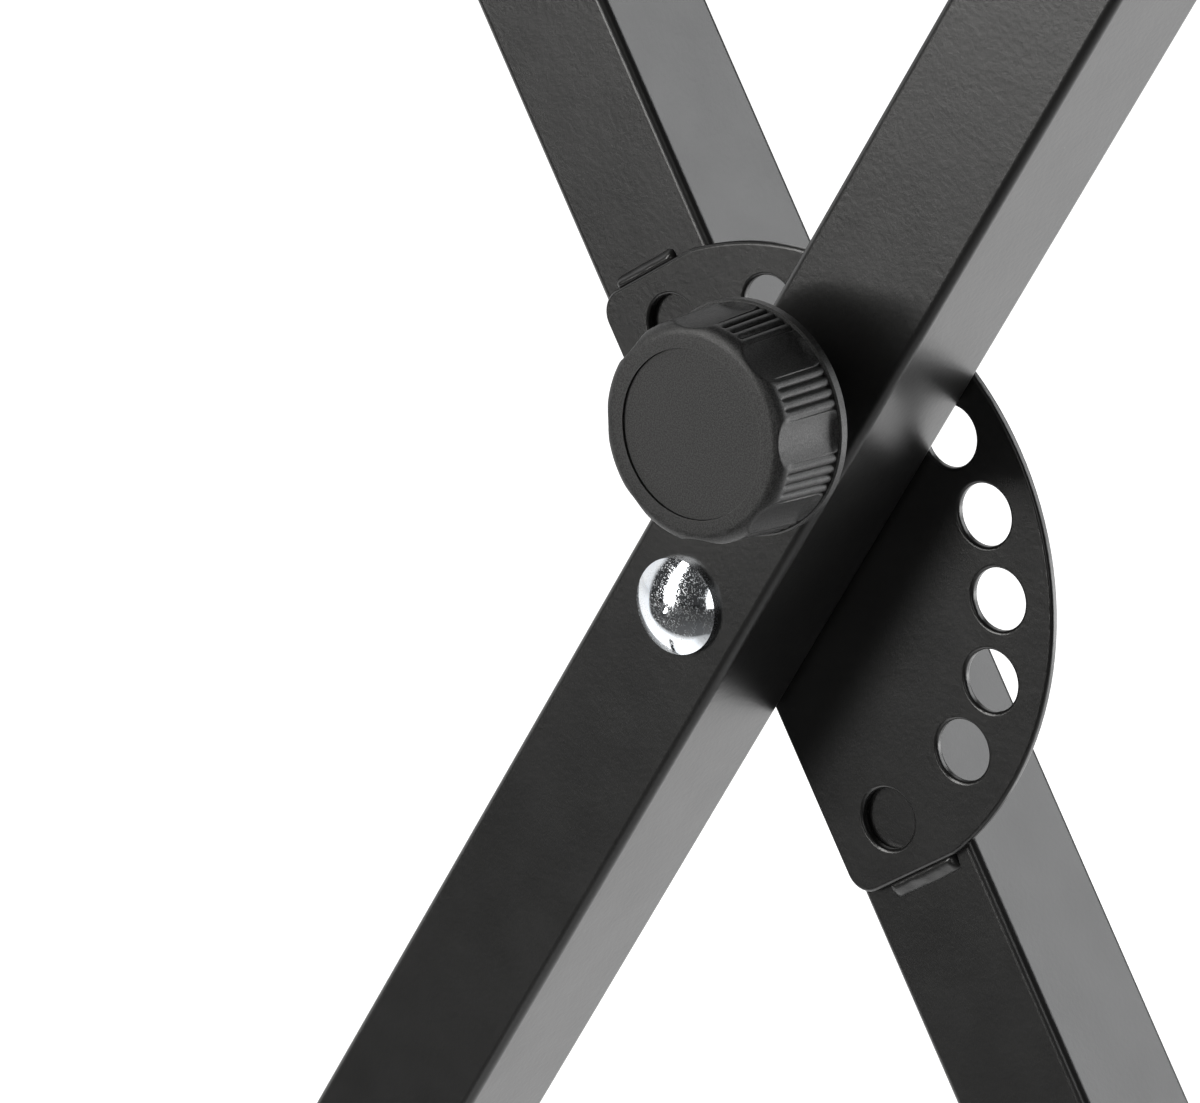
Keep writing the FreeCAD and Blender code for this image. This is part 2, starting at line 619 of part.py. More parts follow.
# Leg ends with their cross bars
def end_plate(label, frame):
    body = new_body(label, f"{frame} * {placed(z=f'-{BAR_SEAT}')}")
    sketch = new_sketch(body, "XY_Plane")
    outer = f"({BAR_OFFSET} + {HALF_TUBE})"
    add_polygon(sketch, [
        (f"-{HALF_TUBE}", f"-{HALF_TUBE}"),
        (outer, f"-{HALF_TUBE}"),
        (outer, HALF_TUBE),
        (f"-{HALF_TUBE}", HALF_TUBE),
    ])
    extrude(body, "Pad", sketch, "Sizes.end_plate_thickness", reverse=True)
    round_edges(body, "Sizes.end_plate_corner",
                lambda edge: runs_along(edge, ALONG_Z) and edge.CenterOfMass.x > 0)
    drill(body, "XY_Plane", BAR_OFFSET, "0", BOLT_HOLE, "0", "Sizes.end_plate_thickness")


def saddle(label, frame):
    body = new_body(label, f"{frame} * {placed(x=BAR_OFFSET)}")
    sketch = new_sketch(body, "XZ_Plane", f"-{HALF_TUBE}")
    inside = f"({HALF_TUBE} + Sizes.saddle_slack)"
    outside = f"({inside} + Sizes.saddle_sheet)"
    top = f"(Sizes.saddle_flange - {HALF_TUBE})"
    add_polygon(sketch, [
        (f"-{outside}", f"-{BAR_SEAT}"),
        (outside, f"-{BAR_SEAT}"),
        (outside, top),
        (inside, top),
        (inside, f"-{HALF_TUBE}"),
        (f"-{inside}", f"-{HALF_TUBE}"),
        (f"-{inside}", top),
        (f"-{outside}", top),
    ])
    extrude(body, "Pad", sketch, "Sizes.tube_side")
    drill(body, "XY_Plane", "0", "0", BOLT_HOLE, f"-{HALF_TUBE}", "Sizes.saddle_sheet")


def cross_bar(label, frame, length):
    middle = f"{frame} * {placed(x=BAR_OFFSET, y=LEG_SPREAD)}"
    body = square_tube(label, middle, "XZ_Plane", ALONG_Y, f"-{length} / 2", length)
    drill(body, "XY_Plane", "0", f"-{LEG_SPREAD}", BOLT_HOLE, HALF_TUBE, "Sizes.tube_side")
    square_hole(body, "XY_Plane", "0", f"-{LEG_SPREAD}", HALF_TUBE)


def bar_end(frame, length, sign, inset):
    """Frame at an end of a cross bar with +Y pointing back along the bar."""
    angle = "0" if sign == "-" else "180"
    distance = f"{LEG_SPREAD} {sign} ({length} / 2 - ({inset}))"
    return f"{frame} * {placed(x=BAR_OFFSET, y=distance, axis=ABOUT_Z, angle=angle)}"


def rubber_block(label, frame, side, rounding, length, is_node=True):
    body = new_body(label, frame, is_node)
    sketch = new_sketch(body, "XZ_Plane")
    add_square(sketch, side)
    extrude(body, "Pad", sketch, length, reverse=True)
    round_edges(body, rounding, outer_corners(ALONG_Y, side))
    return body


def socket(body, start, depth):
    """Square bore for a tube, along +Y from start."""
    sketch = new_sketch(body, "XZ_Plane", f"-({start})")
    add_square(sketch, RUBBER_BORE)
    extrude(body, "Pocket", sketch, depth)


def arm_sleeve(label, frame):
    body = rubber_block(label, frame, RUBBER_SIDE, "Sizes.rubber_round", "Sizes.sleeve_length")
    socket(body, "0", "Sizes.sleeve_length")


def arm_cap(label, frame):
    side = "(Sizes.tube_side + 2 * Sizes.arm_cap_wall)"
    body = rubber_block(label, frame, side, "Sizes.arm_cap_round", "Sizes.arm_cap_end + Sizes.arm_cap_grip")
    lip = new_sketch(body, "XZ_Plane")
    half = f"({side} / 2)"
    top = f"({half} + Sizes.lip_height)"
    add_polygon(lip, [(f"-{half}", "0"), (half, "0"), (half, top), (f"-{half}", top)])
    extrude(body, "Pad", lip, "Sizes.lip_depth", reverse=True)
    height = value(top) - 0.01
    round_edges(body, "Sizes.arm_cap_round",
                lambda edge: runs_along(edge, ALONG_Y) and edge.CenterOfMass.z > height)
    socket(body, "Sizes.arm_cap_end", "Sizes.arm_cap_grip")


def foot_boot(label, frame):
    boot = rubber_block(f"{label}_blank", frame, RUBBER_SIDE, "Sizes.rubber_round",
                        "Sizes.boot_end + Sizes.boot_grip", is_node=False)
    socket(boot, "Sizes.boot_end", "Sizes.boot_grip")
    below_floor = DOC.addObject("Part::Box", f"{label}_trim")
    below_floor.setExpression("Length", f"4 * {PIVOT_HEIGHT}")
    below_floor.setExpression("Width", "4 * Sizes.foot_length")
    below_floor.setExpression("Height", RUBBER_SIDE)
    below_floor.setExpression("Placement", placed(
        x=f"-2 * {PIVOT_HEIGHT}", y="-2 * Sizes.foot_length", z=f"-{RUBBER_SIDE}"))
    cut = DOC.addObject("Part::Cut", label)
    cut.Label = label
    cut.Base = boot
    cut.Tool = below_floor
    DOC.recompute()
    NODES.append(cut)


def tack_welds(frame):
    """Two short beads between the end plate and the outer side of the leg."""
    corner_z = f"-({BAR_SEAT} + Sizes.end_plate_thickness)"
    beads = []
    for number, sign in enumerate(("-", ""), start=1):
        along = f"{sign}({HALF_TUBE} - Sizes.tube_corner - Sizes.tack_weld_length / 2)"
        seat = f"{frame} * {placed(x=HALF_TUBE, y=along, z=corner_z, axis=ABOUT_X, angle='180')}"
        turned = f"{seat} * {placed(axis=ABOUT_Z, angle='90')}"
        beads.append(weld_bead(f"tack_weld_{number}", turned, "-Sizes.tack_weld_length / 2",
                               "Sizes.tack_weld_length"))
    return beads


LEG_ENDS = {
    "front_leg": (("right_arm", RIGHT_ARM), ("left_foot", LEFT_FOOT)),
    "rear_leg": (("left_arm", LEFT_ARM), ("right_foot", RIGHT_FOOT)),
}
for leg, ends in LEG_ENDS.items():
    toward_front, toward_back = ("-", "+") if leg == "front_leg" else ("+", "-")
    bolts, washers, nuts, welds = [], [], [], []
    for end, frame in ends:
        end_plate(f"{end}_end_plate", frame)
        saddle(f"{end}_saddle", frame)
        welds += tack_welds(frame)
        down = f"{frame} * {placed(x=BAR_OFFSET, z=HALF_TUBE, axis=ABOUT_X, angle='-90')}"
        below = "Sizes.tube_side + Sizes.saddle_sheet + Sizes.end_plate_thickness"
        grip = f"{below} + Sizes.washer_thickness"
        shank = f"{grip} + Sizes.nut_height + Sizes.bolt_end_length"
        bolts.append(cup_bolt(f"{end}_bolt", down, shank, False))
        washers.append(ring(f"{end}_washer", f"{down} * {placed(y=below)}",
                            "Sizes.washer_diameter", BOLT_HOLE, "Sizes.washer_thickness", False))
        nuts.append(hex_nut(f"{end}_nut", f"{down} * {placed(y=grip)}", False))
        if end.endswith("arm"):
            length = "Sizes.arm_length"
            cross_bar(f"{end}_tube", frame, length)
            for where, sign in (("front", toward_front), ("back", toward_back)):
                arm_cap(f"{end}_{where}_cap", bar_end(frame, length, sign, "-Sizes.arm_cap_end"))
                arm_sleeve(f"{end}_{where}_sleeve",
                           bar_end(frame, length, sign, "Sizes.arm_cap_grip + Sizes.sleeve_gap"))
        else:
            length = "Sizes.foot_length"
            cross_bar(f"{end}_tube", frame, length)
            for where, sign in (("front", toward_front), ("back", toward_back)):
                foot_boot(f"{end}_{where}_boot", bar_end(frame, length, sign, "-Sizes.boot_end"))
    group(f"{leg}_bar_bolts", bolts)
    group(f"{leg}_bar_washers", washers)
    group(f"{leg}_bar_nuts", nuts)
    group(f"{leg}_end_plate_welds", welds)

DOC.recompute()
for item in DOC.Objects:
    if "Invalid" in item.State or "Error" in item.State:
        raise RuntimeError(f"{item.Label} failed: {item.getStatusString()}")
os.makedirs("parts", exist_ok=True)
for node in NODES:
    if node.Shape.isNull() or not node.Shape.isValid():
        raise RuntimeError(f"{node.Label} has no valid shape")
    node.Shape.exportStep(f"parts/{node.Label}.step")
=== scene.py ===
import math

import bmesh
import bpy
from mathutils import Matrix, Vector, noise


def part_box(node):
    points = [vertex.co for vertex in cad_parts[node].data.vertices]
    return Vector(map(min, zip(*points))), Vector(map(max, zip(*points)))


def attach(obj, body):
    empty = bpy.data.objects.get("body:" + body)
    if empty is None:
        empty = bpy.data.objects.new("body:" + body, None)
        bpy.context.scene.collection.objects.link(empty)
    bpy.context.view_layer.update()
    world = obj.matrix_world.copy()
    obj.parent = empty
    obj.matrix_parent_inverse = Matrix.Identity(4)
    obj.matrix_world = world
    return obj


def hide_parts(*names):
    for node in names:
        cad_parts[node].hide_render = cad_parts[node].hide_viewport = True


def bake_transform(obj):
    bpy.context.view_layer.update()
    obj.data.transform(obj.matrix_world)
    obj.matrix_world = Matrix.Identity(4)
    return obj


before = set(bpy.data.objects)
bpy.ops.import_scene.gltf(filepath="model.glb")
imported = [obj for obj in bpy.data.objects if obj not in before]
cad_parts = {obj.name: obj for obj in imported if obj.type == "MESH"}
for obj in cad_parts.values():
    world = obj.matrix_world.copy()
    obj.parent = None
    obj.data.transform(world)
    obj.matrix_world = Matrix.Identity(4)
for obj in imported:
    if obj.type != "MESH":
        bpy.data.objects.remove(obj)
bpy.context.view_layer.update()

# Camera of the photograph: a long lens from the front right, a little above the pivot
IMAGE_WIDTH = 1200
FOCAL_PIXELS = 7535.4
SENSOR_MM = 36.0
CLIP_START, CLIP_END = 0.05, 60.0
VIEW_AZIMUTH = math.radians(38.88)
VIEW_ELEVATION = math.radians(15.51)
VIEW_ROLL = math.radians(0.65)
VIEW_DISTANCE = 1.4385
AIM_FROM_PIVOT = Vector((-0.0196, 0.0, 0.0069))

# The crossing of the legs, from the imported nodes
bolt_low, bolt_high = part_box("pivot_bolt")
leg_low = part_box("front_leg_tube")[0]
PIVOT = Vector((0.0, leg_low.y, (bolt_low.z + bolt_high.z) / 2))
LEAN = math.radians(31.5)

# Floor as the camera sees it: less lifted near the stand, so that the shadow shows there
FLOOR_REACH = 12.0
NEAR_FLOOR, FAR_FLOOR = 0.45, 1.1
FLOOR_LIFT = (0.2, 0.9)
PAPER_TONES = ((0.80, 0.80, 0.80), (0.82, 0.82, 0.82))

# What reflections see: a white sheet under the stand that ends in front of it and fades on its right,
# and a low white wall on its left, in a dim room
MIRRORED_LIFT = 1.1
WALL_LIFT = 0.65
WALL_FOOT = -0.72
SHEET_FRONT = -0.33
SHEET_FADE = 0.06
SHEET_RIGHT_EDGE = math.radians(118.0)
SHEET_RIGHT_FADE = (-0.6, 0.3)
WALL_FRONT_EDGE = math.radians(-69.0)
WALL_RIGHT_EDGE = math.radians(-172.0)
WALL_FADE = 0.07
WALL_TOP = (0.70, 0.90)
ROOM_LIGHT = 0.2
ROOM_REFLECTION = 0.04
# Painted shade: the room floor that reflections see goes from the first tone near the stand to the darker
# second one far away, for light falling off
ROOM_FLOOR_SHADE_TONES = ((0.17, 0.17, 0.17), (0.08, 0.08, 0.08))

# Materials
DUST_PER_METRE = 30.0
SCRATCH_ROUGHNESS = 0.42
BEVEL_SAMPLES = 4

# Faces of the new pieces that meet at more than this stay sharp
SHARP_EDGE = math.radians(40)


def node(tree, kind, inputs=None, **settings):
    """Adds a shader node; an input is a constant or the output socket that feeds it."""
    made = tree.nodes.new(kind)
    for key, value in settings.items():
        setattr(made, key, value)
    for key, value in (inputs or {}).items():
        if isinstance(value, bpy.types.NodeSocket):
            tree.links.new(value, made.inputs[key])
        else:
            made.inputs[key].default_value = value
    return made


def new_material(name, **constants):
    material = bpy.data.materials.new(name)
    material.use_nodes = True
    tree = material.node_tree
    tree.nodes.clear()
    shader = node(tree, "ShaderNodeBsdfPrincipled")
    for key, value in constants.items():
        shader.inputs[key.replace("_", " ")].default_value = value
    node(tree, "ShaderNodeOutputMaterial", {"Surface": shader.outputs["BSDF"]})
    place = node(tree, "ShaderNodeTexCoord").outputs["Object"]
    return material, tree, shader, place


def connect(tree, shader, colour, roughness, normal):
    tree.links.new(colour, shader.inputs["Base Color"])
    tree.links.new(roughness, shader.inputs["Roughness"])
    tree.links.new(normal, shader.inputs["Normal"])


def speckle(tree, place, cell, detail=2.0):
    """Noise whose grains are about cell metres across."""
    made = node(tree, "ShaderNodeTexNoise", {"Vector": place, "Scale": 1 / cell, "Detail": detail})
    return made.outputs["Fac"]


def spread(tree, source, low, high, start=0.3, end=0.7):
    """Goes from low to high while the source goes from start to end."""
    made = node(tree, "ShaderNodeMapRange", {
        "Value": source, "From Min": start, "From Max": end, "To Min": low, "To Max": high,
    })
    return made.outputs["Result"]


def tint(tree, source, dark, light, start=0.3, end=0.7):
    """Goes from the first colour to the second while the source goes from start to end."""
    ramp = node(tree, "ShaderNodeValToRGB", {"Fac": source})
    first, last = ramp.color_ramp.elements
    first.position, first.color = start, (*dark, 1)
    last.position, last.color = end, (*light, 1)
    return ramp.outputs["Color"]


def combine(tree, operation, first, second=0.0):
    return node(tree, "ShaderNodeMath", {0: first, 1: second}, operation=operation).outputs["Value"]


def maximum(tree, first, second):
    return combine(tree, "MAXIMUM", first, second)


def product(tree, first, second):
    return combine(tree, "MULTIPLY", first, second)


def along(tree, vector, axis):
    dot = node(tree, "ShaderNodeVectorMath", {0: vector, 1: axis}, operation="DOT_PRODUCT")
    return dot.outputs["Value"]


def edge_mask(tree, radius, start, end):
    """One on edges that are sharper than the radius, nought on flat faces."""
    soft = node(tree, "ShaderNodeBevel", {"Radius": radius}, samples=BEVEL_SAMPLES).outputs["Normal"]
    plain = node(tree, "ShaderNodeNewGeometry").outputs["Normal"]
    return spread(tree, along(tree, soft, plain), 1.0, 0.0, start, end)


def blend_colour(tree, factor, base, other):
    mixer = node(tree, "ShaderNodeMix", {"Factor": factor, "A": base, "B": other}, data_type="RGBA")
    return mixer.outputs["Result"]


def bump(tree, height, strength, distance, under=None):
    inputs = {"Height": height, "Strength": strength, "Distance": distance}
    if under is not None:
        inputs["Normal"] = under
    return node(tree, "ShaderNodeBump", inputs).outputs["Normal"]


def dust(tree, place):
    """One on tiny specks. Each cube of 33 mm holds one, so few of them meet a surface."""
    cells = node(tree, "ShaderNodeTexVoronoi", {
        "Vector": place, "Scale": DUST_PER_METRE, "Randomness": 1.0,
    })
    return spread(tree, cells.outputs["Distance"], 1.0, 0.0, start=0.005, end=0.008)


def scratches(tree, place, curl, length):
    """One on hair-thin curled lines, broken into short pieces."""
    away = combine(tree, "SUBTRACT", speckle(tree, place, curl, detail=1.0), 0.5)
    line = spread(tree, combine(tree, "ABSOLUTE", away), 1.0, 0.0, start=0.006, end=0.016)
    kept = spread(tree, speckle(tree, place, length, detail=1.0), 0.0, 1.0, start=0.46, end=0.54)
    return product(tree, line, kept)


def pits(tree, place, cell):
    """Nearly one on tiny pits, most of them where a slow noise is high."""
    many = spread(tree, speckle(tree, place, cell=0.003), 0.0, 1.0, start=0.34, end=0.54)
    each = spread(tree, speckle(tree, place, cell, detail=1.0), 0.0, 0.9, start=0.55, end=0.66)
    return product(tree, each, many)


def powder_coat():
    """Satin black paint: fine orange peel on slow waves, with a few specks of dust."""
    material, tree, shader, place = new_material("powder_coat", IOR=1.55)
    mottle = speckle(tree, place, cell=0.02, detail=4.0)
    colour = tint(tree, mottle, dark=(0.0060, 0.0060, 0.0060), light=(0.0085, 0.0085, 0.0083))
    worn = tint(tree, mottle, dark=(0.010, 0.010, 0.010), light=(0.018, 0.018, 0.0175))
    colour = blend_colour(tree, edge_mask(tree, radius=0.0005, start=0.80, end=0.97), colour, worn)
    lint = tint(tree, mottle, dark=(0.06, 0.06, 0.058), light=(0.14, 0.14, 0.135))
    colour = blend_colour(tree, dust(tree, place), colour, lint)
    # Under about 0.28 the denoiser draws the contours of this noise on the paint
    haze = spread(tree, speckle(tree, place, cell=0.012, detail=3.0), low=0.285, high=0.315)
    waves = bump(tree, speckle(tree, place, cell=0.006), strength=0.5, distance=0.00005)
    peel = bump(tree, speckle(tree, place, cell=0.0011), strength=0.9, distance=0.00003, under=waves)
    connect(tree, shader, colour, haze, peel)
    return material


def moulded_plastic():
    """Black plastic with the fine spark-eroded grain of its mould."""
    material, tree, shader, place = new_material("moulded_plastic", IOR=1.49)
    mottle = speckle(tree, place, cell=0.008, detail=4.0)
    sparks = speckle(tree, place, cell=0.00028, detail=1.0)
    colour = tint(
        tree, sparks, dark=(0.001, 0.001, 0.001), light=(0.022, 0.022, 0.0218), start=0.40, end=0.60)
    worn = tint(tree, mottle, dark=(0.030, 0.030, 0.030), light=(0.042, 0.042, 0.041))
    colour = blend_colour(tree, edge_mask(tree, radius=0.0004, start=0.75, end=0.97), colour, worn)
    haze = spread(tree, speckle(tree, place, cell=0.0005), low=0.44, high=0.54)
    connect(tree, shader, colour, haze, bump(tree, sparks, strength=0.6, distance=0.00004))
    return material


def plated_steel(name, dark, light, smooth, dull):
    """Bright plating with a slow haze, short scratches and pits."""
    material, tree, shader, place = new_material(name, Metallic=1.0)
    haze = speckle(tree, place, cell=0.003, detail=4.0)
    scratched = maximum(
        tree, scratches(tree, place, curl=0.0010, length=0.0008), pits(tree, place, cell=0.00028))
    plain = spread(tree, haze, smooth, dull)
    rough = node(tree, "ShaderNodeMix", {"Factor": scratched, "A": plain, "B": SCRATCH_ROUGHNESS})
    waves = bump(tree, speckle(tree, place, cell=0.004, detail=1.0), strength=0.3, distance=0.00001)
    marks = bump(tree, scratched, strength=0.2, distance=0.000005, under=waves)
    connect(tree, shader, tint(tree, haze, dark, light), rough.outputs["Result"], marks)
    return material


def rubber():
    """Matt black rubber, paler on worn edges."""
    material, tree, shader, place = new_material("rubber", IOR=1.5)
    mottle = speckle(tree, place, cell=0.012, detail=5.0)
    colour = tint(tree, mottle, dark=(0.016, 0.016, 0.016), light=(0.026, 0.026, 0.025))
    worn = tint(tree, mottle, dark=(0.035, 0.035, 0.034), light=(0.05, 0.05, 0.048))
    colour = blend_colour(tree, edge_mask(tree, radius=0.001, start=0.8, end=0.98), colour, worn)
    grain = bump(tree, speckle(tree, place, cell=0.0006), strength=0.3, distance=0.0002)
    connect(tree, shader, colour, spread(tree, mottle, low=0.62, high=0.78), grain)
    return material


def nylon():
    """Black nylon with a little light under its surface."""
    material, tree, shader, place = new_material("nylon", IOR=1.53, Subsurface_Weight=0.1)
    mottle = speckle(tree, place, cell=0.004, detail=3.0)
    colour = tint(tree, mottle, dark=(0.040, 0.040, 0.039), light=(0.060, 0.060, 0.058))
    grain = bump(tree, speckle(tree, place, cell=0.0008), strength=0.1, distance=0.0002)
    connect(tree, shader, colour, spread(tree, mottle, low=0.4, high=0.55), grain)
    return material


FINISHES = {
    "black_paint": powder_coat(),
    "knob_plastic": moulded_plastic(),
    "bright_zinc": plated_steel(
        "bright_zinc_plate", dark=(0.74, 0.78, 0.83), light=(0.84, 0.86, 0.88), smooth=0.05, dull=0.09),
    "plain_steel": plated_steel(
        "turned_steel", dark=(0.48, 0.48, 0.48), light=(0.58, 0.58, 0.57), smooth=0.22, dull=0.34),
    "rubber": rubber(),
    "nylon": nylon(),
}


# A node comes with a plain material that has its slot's name
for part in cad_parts.values():
    part.material_slots[0].material = FINISHES[part.material_slots[0].material.name]


def new_piece(name, shape, slot, *nodes):
    """Makes a piece of a finished bmesh that stands for CAD nodes."""
    mesh = bpy.data.meshes.new(name)
    bmesh.ops.recalc_face_normals(shape, faces=shape.faces)
    shape.to_mesh(mesh)
    shape.free()
    mesh.polygons.foreach_set("use_smooth", [True] * len(mesh.polygons))
    mesh.set_sharp_from_angle(angle=SHARP_EDGE)
    mesh.materials.append(FINISHES[slot])
    piece = bpy.data.objects.new(name, mesh)
    bpy.context.scene.collection.objects.link(piece)
    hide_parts(*nodes)
    return piece


def skin(shape, rows):
    """Joins neighbouring rows of vertices, all of them rings, with faces; a row of one vertex is a pole."""
    for near, far in zip(rows, rows[1:]):
        count = max(len(near), len(far))
        for k in range(count):
            m = (k + 1) % count
            corners = [near[k % len(near)], near[m % len(near)], far[m % len(far)], far[k % len(far)]]
            shape.faces.new(list(dict.fromkeys(corners)))


# Pull knob: ribbed lobes between smooth finger scallops, all with moulded roundings
KNOB_RIM = 0.0223
KNOB_RIM_DEPTH = 0.0022
KNOB_RIM_EDGE = 0.0003
KNOB_HEIGHT = 0.0182
KNOB_BORE = 0.00405
KNOB_HUB = 0.0105
KNOB_SKIRT = 0.0185
KNOB_HOLLOW = 0.0122
CAP_CLEARANCE = 0.0001
GRIP_BACK = 0.0218
GRIP_FRONT = 0.0209
GRIP_EDGE = 0.0026
GRIP_SLOPE = (GRIP_BACK - GRIP_FRONT) / (KNOB_HEIGHT - KNOB_RIM_DEPTH)
GRIP_STEPS = 25
GRIP_EDGE_STEPS = 12
SCALLOPS = 8
SCALLOP_RADIUS = 0.0170
SCALLOP_DEPTH = 0.0011
SCALLOP_TURN = math.radians(3.3)
SCALLOP_FILLET = 0.0018
SCALLOP_EDGE = 0.0004
SCALLOP_PITCH = math.tau / SCALLOPS
GROOVES = 64
GROOVE_DEPTH = 0.0007
GROOVE_STOP = 0.0026
GROOVE_FADE = 0.0005
GROOVE_PITCH = math.tau / GROOVES
RIB_FULLNESS = 0.55
MOULD_ROUNDING = 0.0002
COLUMNS_PER_GROOVE = 12
KNOB_COLUMNS = GROOVES * COLUMNS_PER_GROOVE


def soft_minimum(a, b, rounding):
    overlap = max(rounding - abs(a - b), 0.0) / rounding
    return min(a, b) - overlap * overlap * rounding / 4


def from_nearest(angle, pitch):
    """Angle from the nearest multiple of the pitch."""
    return (angle + pitch / 2) % pitch - pitch / 2


def clamp(share):
    return min(max(share, 0.0), 1.0)


def grip_radius(plain, depth, angle):
    """Radius of the grip where the turned blank has the plain radius, depth from the back."""
    across = from_nearest(angle - SCALLOP_TURN, SCALLOP_PITCH)
    rise = (KNOB_HEIGHT - depth) * GRIP_SLOPE
    cutter = SCALLOP_RADIUS - rise
    axis = GRIP_FRONT - SCALLOP_DEPTH + SCALLOP_RADIUS
    side = axis * math.sin(across)
    scallop = KNOB_RIM
    if abs(side) < cutter:
        scallop = axis * math.cos(across) - math.sqrt(cutter * cutter - side * side)
    inside = clamp((plain - scallop) / SCALLOP_EDGE)
    toe = max(SCALLOP_FILLET - (depth - KNOB_RIM_DEPTH), 0.0)
    scallop += SCALLOP_FILLET - math.sqrt(SCALLOP_FILLET * SCALLOP_FILLET - toe * toe)
    into = from_nearest(angle - SCALLOP_TURN - SCALLOP_PITCH / 2, GROOVE_PITCH) / GROOVE_PITCH
    rib = abs(math.sin(math.pi * into)) ** RIB_FULLNESS
    fade = clamp((KNOB_HEIGHT - GROOVE_STOP - depth) / GROOVE_FADE)
    ribbed = plain - GROOVE_DEPTH * (1 - rib) * fade * (1 - inside)
    return soft_minimum(ribbed, scallop, MOULD_ROUNDING)


def grip_section():
    """Radius and depth along the turned grip, from the rim over the front edge to the end face."""
    lean = math.atan(GRIP_SLOPE)
    centre_depth = KNOB_HEIGHT - GRIP_EDGE
    centre = GRIP_BACK - GRIP_SLOPE * (centre_depth - KNOB_RIM_DEPTH) - GRIP_EDGE / math.cos(lean)
    straight_end = centre_depth + GRIP_EDGE * math.sin(lean)
    section = []
    for step in range(GRIP_STEPS):
        depth = KNOB_RIM_DEPTH + (straight_end - KNOB_RIM_DEPTH) * step / GRIP_STEPS
        section.append((GRIP_BACK - GRIP_SLOPE * (depth - KNOB_RIM_DEPTH), depth))
    for step in range(GRIP_EDGE_STEPS + 1):
        turn = lean + (math.pi / 2 - lean) * step / GRIP_EDGE_STEPS
        section.append((centre + GRIP_EDGE * math.cos(turn), centre_depth + GRIP_EDGE * math.sin(turn)))
    return section


def pull_knob():
    """Knob on its CAD node's place; the cap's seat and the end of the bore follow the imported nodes."""
    low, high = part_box("pull_knob")
    cap_low, cap_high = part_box("knob_cap")
    middle = (low + high) / 2
    recess = (cap_high.x - cap_low.x) / 2 + CAP_CLEARANCE
    recess_floor = high.y - cap_high.y
    pin_end = high.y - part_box("lock_pin")[0].y
    back = [
        (0.0, pin_end), (KNOB_BORE, pin_end), (KNOB_BORE, 0.0),
        (KNOB_HUB, 0.0), (KNOB_HUB, KNOB_HOLLOW), (KNOB_SKIRT, KNOB_HOLLOW), (KNOB_SKIRT, 0.0),
        (KNOB_RIM - KNOB_RIM_EDGE, 0.0), (KNOB_RIM, KNOB_RIM_EDGE),
        (KNOB_RIM, KNOB_RIM_DEPTH - KNOB_RIM_EDGE), (KNOB_RIM - KNOB_RIM_EDGE, KNOB_RIM_DEPTH),
    ]
    front = [(recess, KNOB_HEIGHT), (recess, recess_floor), (0.0, recess_floor)]
    section = [(*point, False) for point in back]
    section += [(*point, True) for point in grip_section()]
    section += [(*point, False) for point in front]
    shape = bmesh.new()
    rows = []
    for radius, depth, shaped in section:
        row = []
        for column in range(KNOB_COLUMNS if radius else 1):
            angle = math.tau * column / KNOB_COLUMNS
            reach = grip_radius(radius, depth, angle) if shaped else radius
            row.append(shape.verts.new((
                middle.x + reach * math.cos(angle), high.y - depth, middle.z + reach * math.sin(angle))))
        rows.append(row)
    skin(shape, rows)
    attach(new_piece("moulded_pull_knob", shape, "knob_plastic", "pull_knob"), "lock_knob")


# Lock plate welds: low painted beads that fall from the edge of the plate to the leg
PLATE_END = 0.0635
WELD_CREST = 0.0006
WELD_CREST_HEIGHT = 0.0015
WELD_START_HEIGHT = 0.0012
WELD_TOE_HEIGHT = 0.0003
WELD_SINK = 0.0004
WELD_END = 0.0016
WELD_END_WIDTH = 0.7
WELD_END_SWELL = 0.03
WELD_STEPS = 72
WELD_RISE_STEPS = 6
WELD_FALL_STEPS = 12
LUMP_SIZE = 0.06
LUMPS_ALONG, LUMPS_ACROSS = 300, 500
# Start, end and width of each bead
UPPER_WELD = (-0.0100, 0.0062, 0.0021)
LOWER_WELD = (-0.0072, 0.0104, 0.0029)


def weld_section(width):
    """Distance from the plate and height over the leg, from the plate over the crest to the toe."""
    section = [(-WELD_SINK, -WELD_SINK), (-WELD_SINK, WELD_START_HEIGHT)]
    for step in range(WELD_RISE_STEPS + 1):
        share = step / WELD_RISE_STEPS
        rise = (WELD_CREST_HEIGHT - WELD_START_HEIGHT) * math.sin(math.pi / 2 * share)
        section.append((WELD_CREST * share, WELD_START_HEIGHT + rise))
    for step in range(1, WELD_FALL_STEPS + 1):
        share = step / WELD_FALL_STEPS
        fall = (WELD_CREST_HEIGHT - WELD_TOE_HEIGHT) * share * share
        section.append((WELD_CREST + (width - WELD_CREST) * share, WELD_CREST_HEIGHT - fall))
    return section + [(width + WELD_TOE_HEIGHT / 2, 0.0), (width, -WELD_SINK)]


